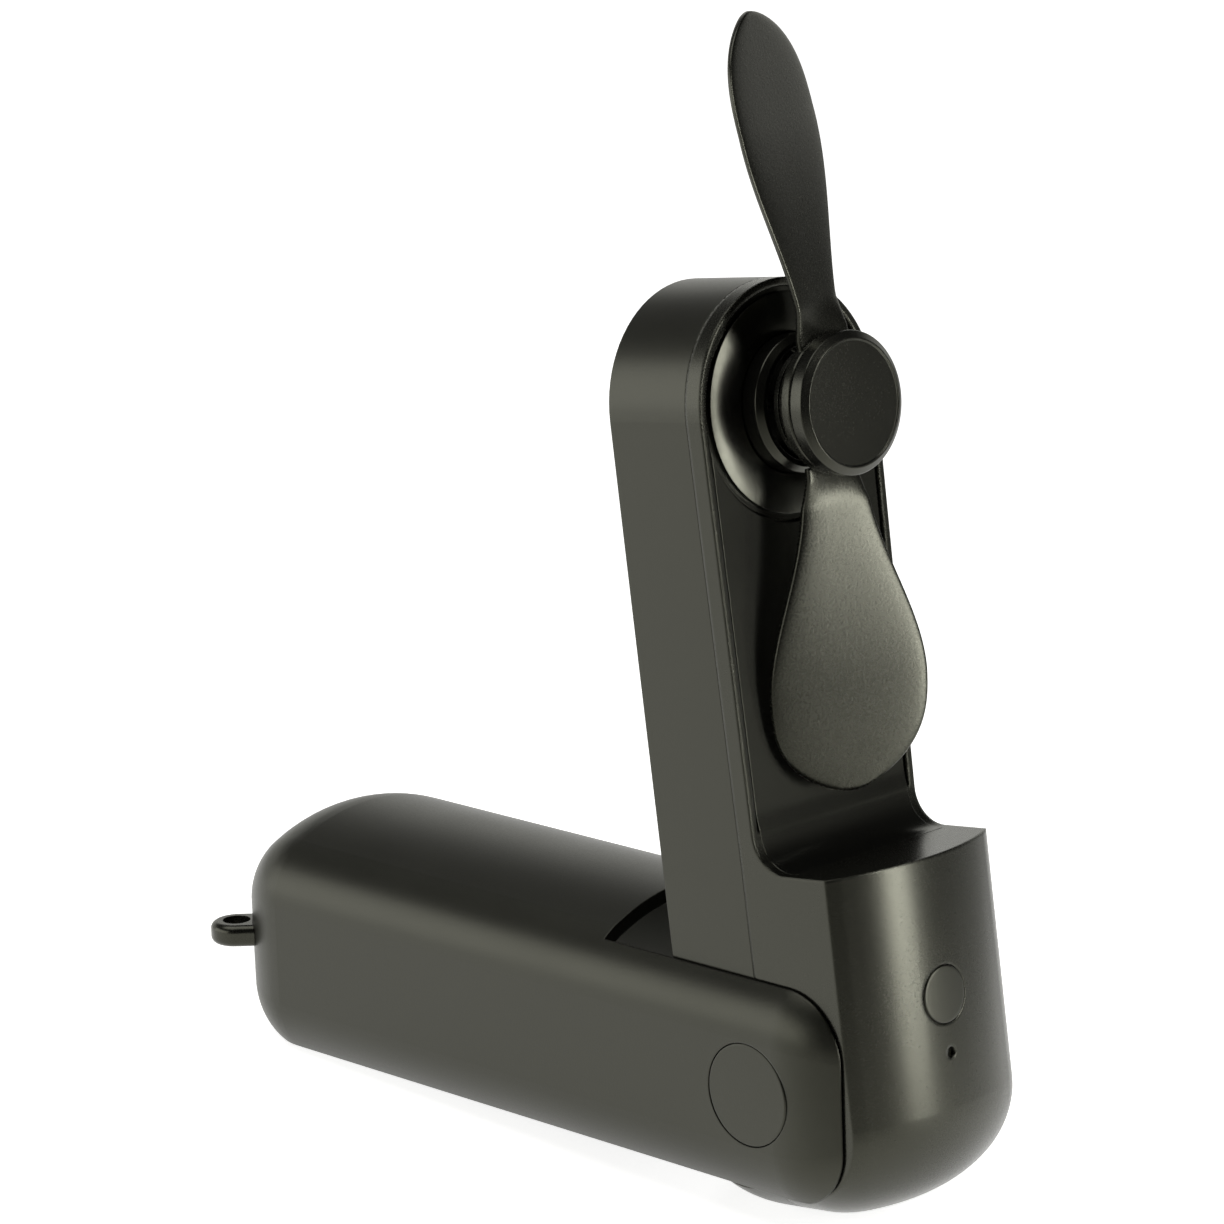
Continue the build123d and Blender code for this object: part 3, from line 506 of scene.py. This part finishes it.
# ABS with a finer, smoother texture than the housings, so it mirrors the blade softly.
abs_fine = moulded_plastic("abs_fine_texture_black", "#0b0b0a", roughness=0.24,
                           grain=0.25, depth=0.005, edge=0.1)
panel = make_piece("face_panel_plate", *panel_mesh(), arm_frame, abs_fine, "arm", ["face_panel"], "shell")
soft_rim = panel.modifiers.new("soft_rim", "BEVEL")
soft_rim.width = 0.22 * millimetre
soft_rim.segments = 3
soft_rim.angle_limit = math.radians(55)


# Hub core
# The core that both blade rings turn and clamp on, pressed on the motor's shaft. It is
# moulded in the cap's black and shows only from the side.

# ABS from a smooth mould: even satin, with hardly any grain.
abs_satin = moulded_plastic("abs_satin_black", "#0c0c0b", roughness=0.26,
                            grain=0.4, depth=0.0006, edge=0.12)
dress(["rotor_hub"], abs_satin)


# Blades
# Two thin polypropylene blades, each moulded with its own ring. The fixed one hangs along
# the arm; the other turns on the core and folds down over it. Both are pitched to push air
# out of the face, waisted at the root, bowed back towards the arm and round at the tip.
blade_root = 9.0
blade_reach = 58.2
blade_wide_at = 42.0
blade_half = 12.1
root_half = 5.2
blade_thickness = 1.3
blade_pitch = 19.8
neck_start = 10.6
neck_end = 15.0
neck_pitch = 15.0
tip_fullness = 2.8
tip_roundness = 0.68
waist_softness = 1.08
side_power = 0.62         # power that crowds a section's points towards its edges
face_power = 0.35         # power that keeps its faces flat right up to the round edges
tip_thinning = 2.2        # half width under which the blade thins towards its tip
least_half = 0.05
blade_bow = 3.0
blade_tilt = 6.0
fixed_ring = 8.6
folding_ring = 10.4
ring_bore = 5.06
ring_thickness = 2.0
folding_middle = -12.2
fixed_middle = -10.1


def blade_shape(height):
    """Half width, pitch and backward bow of a blade at a height above the motor's axis."""
    if height >= blade_wide_at:
        t = min(1.0, (height - blade_wide_at) / (blade_reach - blade_wide_at))
        half = blade_half * (1 - t ** tip_fullness) ** tip_roundness
    else:
        t = max(0.0, (height - neck_start) / (blade_wide_at - neck_start))
        half = root_half + (blade_half - root_half) * (t * t * (3 - 2 * t)) ** waist_softness
    if height < neck_end:
        pitch = neck_pitch * max(0.0, (height - neck_start) / (neck_end - neck_start))
    else:
        twist = min(1.0, (height - neck_end) / (blade_wide_at - neck_end))
        pitch = neck_pitch + (blade_pitch - neck_pitch) * twist
    bow = blade_bow * max(0.0, (height - neck_end) / (blade_reach - neck_end)) ** 2
    return half, math.radians(pitch), bow


def blade_mesh(middle, turn_degrees, ring_radius):
    """A blade as closed sections from root to tip with a full round edge, and its ring."""
    root_steps, tip_steps, around = 40, 24, 56
    heights = [blade_root + (blade_wide_at - blade_root) * step / root_steps
               for step in range(root_steps + 1)]
    for step in range(1, tip_steps + 1):
        turn = math.pi / 2 * step / tip_steps
        heights.append(blade_wide_at + (blade_reach - blade_wide_at) * math.sin(turn))
    points = []
    for height in heights:
        half, pitch, bow = blade_shape(height)
        half = max(half, least_half)
        thick = blade_thickness / 2 * min(1.0, math.sqrt(half / tip_thinning))
        for step in range(around):
            turn = 2 * math.pi * step / around
            c, s = math.cos(turn), math.sin(turn)
            x = half * math.copysign(abs(c) ** side_power, c)
            y = thick * math.copysign(abs(s) ** face_power, s) + x * math.tan(pitch)
            points.append((x, middle + bow + y, height))
    faces = band_faces(len(heights), around)
    faces.append(tuple(reversed(range(around))))
    faces.append(tuple(range((len(heights) - 1) * around, len(heights) * around)))
    first = len(points)
    half = ring_thickness / 2
    ring = rounded([(ring_radius, half), (ring_radius, -half), (ring_bore, -half), (ring_bore, half)],
                   [0.5, 0.5, 0.1, 0.1])
    ring_points, ring_faces = turned([(r, y + middle) for r, y in ring], 0.0, 96)
    points += ring_points
    faces += [tuple(i + first for i in face) for face in ring_faces]
    spin = Matrix.Translation((0, 0, motor_height)) @ Matrix.Rotation(math.radians(turn_degrees), 4, "Y")
    return [spin @ Vector(p) for p in points], faces


# Frosted polypropylene: a soft sheen that a grain of about 0.4 mm breaks up.
frosted = moulded_plastic("polypropylene_frosted_black", "#0d0d0b", roughness=0.27,
                          grain=0.42, depth=0.018, edge=0.12)
make_piece("blade_fixed", *blade_mesh(fixed_middle, 180, fixed_ring), arm_frame, frosted, "rotor",
           ["fixed_blade"], "blade")
make_piece("blade_folding", *blade_mesh(folding_middle, -blade_tilt, folding_ring), arm_frame,
           frosted, "swing_blade", ["folding_blade"], "blade")


# Hub cap
# A satin button pressed over the core: a rounded side band, a polished bevel, a thin raised
# ring and a flat disc set slightly inside it.
hub_radius = 10.6
hub_back = -13.3
hub_rim = -15.7
hub_face = -16.4
disc_radius = 9.25
disc_sink = 0.18
disc_ring = 0.25
disc_draft = 0.12
stub_radius = 1.2
stub_back = -12.9
profile = rounded([(stub_radius, hub_back), (hub_radius, hub_back), (hub_radius, hub_rim),
                   (disc_radius + disc_ring, hub_face), (disc_radius, hub_face),
                   (disc_radius - disc_draft, hub_face + disc_sink), (0.0, hub_face + disc_sink),
                   (0.0, stub_back), (stub_radius, stub_back)],
                  [0, 0.45, 0.35, 0.12, 0.06, 0.05, 0, 0, 0])
make_piece("hub_cap_button", *turned(profile, motor_height), arm_frame, abs_satin, "rotor",
           ["hub_cap"], "rotor")


# Power button
# A round ABS key in the middle of the lower block, curved like the block's front and almost
# flush, so only its narrow gap draws a ring. It slides in its hole against the switch.
button_height = 12.0
button_radius = 4.3
button_proud = 0.15
button_edge = 0.22
button_depth = 1.6
crown_radius = 36.0
body_rise = 21.65


def crown(x):
    """How far the closed fan's crown stands from the pivot's plane at a place across it."""
    return body_rise - crown_radius + math.sqrt(crown_radius ** 2 - x * x)


def disc_mesh(inner, radius, edge, depth, edge_steps, point_at):
    """A disc from radii inside its flat, a rounded rim and a depth; point_at places a point
    from its two coordinates in the disc and its sink."""
    around = 96
    rings = [(reach, 0.0) for reach in inner]
    for step in range(1, edge_steps + 1):
        turn = math.pi / 2 * step / edge_steps
        rings.append((radius - edge + edge * math.sin(turn), edge * (1 - math.cos(turn))))
    rings.append((radius, depth))
    points = []
    for reach, sink in rings:
        for step in range(around):
            turn = 2 * math.pi * step / around
            points.append(point_at(reach * math.cos(turn), reach * math.sin(turn), sink))
    faces = band_faces(len(rings), around)
    if inner[0] > 0:
        faces.append(tuple(range(around)))
    faces.append(tuple(range((len(rings) - 1) * around, len(rings) * around)))
    return points, faces


def key_point(x, z, sink):
    """A point of the key, whose top follows the block's crown."""
    return x, -(crown(x) + button_proud) + sink, button_height + z


# The housings' grain, a little duller where fingers have not polished it.
abs_key = moulded_plastic("abs_satin_black_key", "#0d0d0b", roughness=0.36,
                          grain=0.30, depth=0.010, edge=0.1)
flat_steps = 10
key_flat = [step / flat_steps * (button_radius - button_edge) for step in range(flat_steps + 1)]
key = disc_mesh(key_flat, button_radius, button_edge, button_depth, edge_steps=4, point_at=key_point)
make_piece("power_key", *key, arm_frame, abs_key, "button", ["power_button"], "button")


# Fold hinge
# Steel pins with thin heads turn in nylon bushes on both sides of the arm and are kept by
# clips. Friction washers hold the pose.
dress(["hinge_pin_left", "hinge_pin_right", "pin_clip_left", "pin_clip_right"], steel)


# Cover
# The deep U-shaped moulding that the arm folds into. It has the closed fan's section: flat
# sides, soft corners and a shallow crown, with a round nose at both ends.
cover_up = next(Vector(m["axis"]) for m in frame["record"]["mounts"] if m["name"] == "lanyard_hole")
cover_frame = frame_matrix(cover_up.cross(across), cover_up)

# The arm's spark-eroded texture, a shade duller on this larger moulding.
abs_cover = moulded_plastic("abs_spark_eroded_black_cover", "#0d0d0b", roughness=0.36,
                            grain=0.30, depth=0.014, edge=0.35)
dress(["cover_shell"], abs_cover)


# Pivot caps
# Round discs pressed into the cheeks over the pins' heads, moulded in the cover's ABS. They
# sit flush, with a hairline gap around them.
cap_radius = 7.9
cap_edge = 0.25
cap_centre = 0.02         # radius of the flat's innermost ring of points
cap_outside = 21.75
cap_inside = 19.95


def left_cap_point(y, z, sink):
    """A point of the left disc, which faces away from the arm."""
    return -(cap_outside - sink), y, z


def right_cap_point(y, z, sink):
    """A point of the right disc, which faces away from the arm."""
    return cap_outside - sink, y, z


for side, cap_point in (("left", left_cap_point), ("right", right_cap_point)):
    disc = disc_mesh([cap_centre, cap_radius - cap_edge], cap_radius, cap_edge,
                     cap_outside - cap_inside, edge_steps=3, point_at=cap_point)
    make_piece("pivot_disc_" + side, *disc, cover_frame, abs_cover, "cover",
               ["pivot_cap_" + side], "cover")


# Lanyard loop
# A small round-edged eye moulded on the corner of the cover's far end, in satin ABS. A
# wrist cord goes through its upright hole.
dress(["lanyard_loop"], abs_satin)


# Studio
# A dark room with a pale sweep behind the fan, a tall soft key in front and to the right, a
# broad fill on the left and a weak light above. The room's dark keeps the plastic black.
camera_from_pivot = Vector((-0.5291, -0.4926, 0.2738))
view_way = Vector((0.67134, 0.68951, -0.27183))
camera_data = bpy.data.cameras.new("camera")
camera_data.sensor_width = 36
camera_data.lens = 150.4
camera_data.clip_end = 20
camera = bpy.data.objects.new("camera", camera_data)
bpy.context.scene.collection.objects.link(camera)
camera.location = pivot + camera_from_pivot
camera.rotation_euler = view_way.to_track_quat("-Z", "Y").to_euler()
bpy.context.scene.camera = camera
bpy.context.scene.view_settings.view_transform = "Standard"

world = bpy.data.worlds.new("studio")
bpy.context.scene.world = world
world.use_nodes = True
way = add_node(world, "ShaderNodeTexCoord").outputs["Generated"]
along = add_node(world, "ShaderNodeSeparateXYZ", {"Vector": way}).outputs
low = add_node(world, "ShaderNodeMapRange",
               {"Value": along["Z"], "From Min": 0.34, "From Max": 0.52, "To Min": 1.0, "To Max": 0.0},
               interpolation_type="SMOOTHSTEP").outputs["Result"]
behind = add_node(world, "ShaderNodeMapRange",
                  {"Value": along["Y"], "From Min": -0.25, "From Max": 0.05},
                  interpolation_type="SMOOTHSTEP").outputs["Result"]
sweep = add_node(world, "ShaderNodeMath", {0: low, 1: behind}, operation="MULTIPLY").outputs["Value"]
tone = add_node(world, "ShaderNodeMix", {"Factor": sweep, 6: linear("#1e1e1b"), 7: linear("#f2f2ec")},
                data_type="RGBA").outputs[2]
world.node_tree.links.new(tone, world.node_tree.nodes["Background"].inputs["Color"])


def panel_light(name, width, height, energy):
    """A rectangular soft light, sizes in metres and energy in watts; it faces down."""
    lamp = bpy.data.lights.new(name, "AREA")
    lamp.shape = "RECTANGLE"
    lamp.size = width
    lamp.size_y = height
    lamp.energy = energy
    holder = bpy.data.objects.new(name, lamp)
    bpy.context.scene.collection.objects.link(holder)
    return holder


def upright_light(name, azimuth, distance, height, width, radiance):
    """An upright soft light that stands at an azimuth from the fan's front and faces it."""
    box = panel_light(name, width, height, radiance * math.pi * width * height)
    turn = math.radians(azimuth)
    facing = Vector((-math.sin(turn), math.cos(turn), 0))
    box.location = -facing * distance + Vector((0, 0, height / 2))
    box.rotation_euler = facing.to_track_quat("-Z", "Y").to_euler()


upright_light("key", azimuth=18, distance=0.38, height=0.42, width=0.07, radiance=14.5)
upright_light("left_fill", azimuth=-121, distance=1.1, height=0.62, width=1.5, radiance=1.6)
overhead = panel_light("overhead", width=1.6, height=1.6, energy=18.0)
overhead.location = (-0.4, 0.5, 1.9)

# A light table: opal acrylic lit from below, so the ground reads white. Its lamps stop
# short of the front and right edges and fade over 12 to 14 cm, so what faces forward
# reflects a dark room.
floor_reach = 6.0
lamps_ahead = Vector((0.698, 0.716, 0))
lamps_right = Vector((0.629, -0.787, 0))
lamps_strength = 0.8
unlit_strength = 0.02
floor_mesh = bpy.data.meshes.new("floor")
corners = [(x * floor_reach, y * floor_reach, 0) for x, y in ((-1, -1), (1, -1), (1, 1), (-1, 1))]
floor_mesh.from_pydata(corners, [], [(0, 1, 2, 3)])
floor = bpy.data.objects.new("floor", floor_mesh)
bpy.context.scene.collection.objects.link(floor)
opal, shader, place = new_finish("acrylic_opal_table", Roughness=0.9, Base_Color=linear("#f2f2ee"),
                                 Emission_Color=linear("#ffffff"))
frost = add_node(opal, "ShaderNodeTexNoise",
                 {"Vector": place, "Scale": 900.0, "Detail": 3.0}).outputs["Fac"]
add_node(opal, "ShaderNodeBump", {"Height": frost, "Distance": 0.02 * millimetre},
         shader.inputs["Normal"])
ahead = add_node(opal, "ShaderNodeVectorMath", {0: place, 1: lamps_ahead}, operation="DOT_PRODUCT")
aside = add_node(opal, "ShaderNodeVectorMath", {0: place, 1: lamps_right}, operation="DOT_PRODUCT")
front_edge = add_node(opal, "ShaderNodeMapRange",
                      {"Value": ahead.outputs["Value"], "From Min": -0.17, "From Max": -0.05},
                      interpolation_type="SMOOTHSTEP")
right_edge = add_node(opal, "ShaderNodeMapRange",
                      {"Value": aside.outputs["Value"], "From Min": 0.10, "From Max": 0.24,
                       "To Min": 1.0, "To Max": 0.0},
                      interpolation_type="SMOOTHSTEP")
glow = add_node(opal, "ShaderNodeMath",
                {0: front_edge.outputs["Result"], 1: right_edge.outputs["Result"]}, operation="MULTIPLY")
add_node(opal, "ShaderNodeMath", {0: glow.outputs["Value"], 1: lamps_strength, 2: unlit_strength},
         shader.inputs["Emission Strength"], operation="MULTIPLY_ADD")
floor_mesh.materials.append(opal)
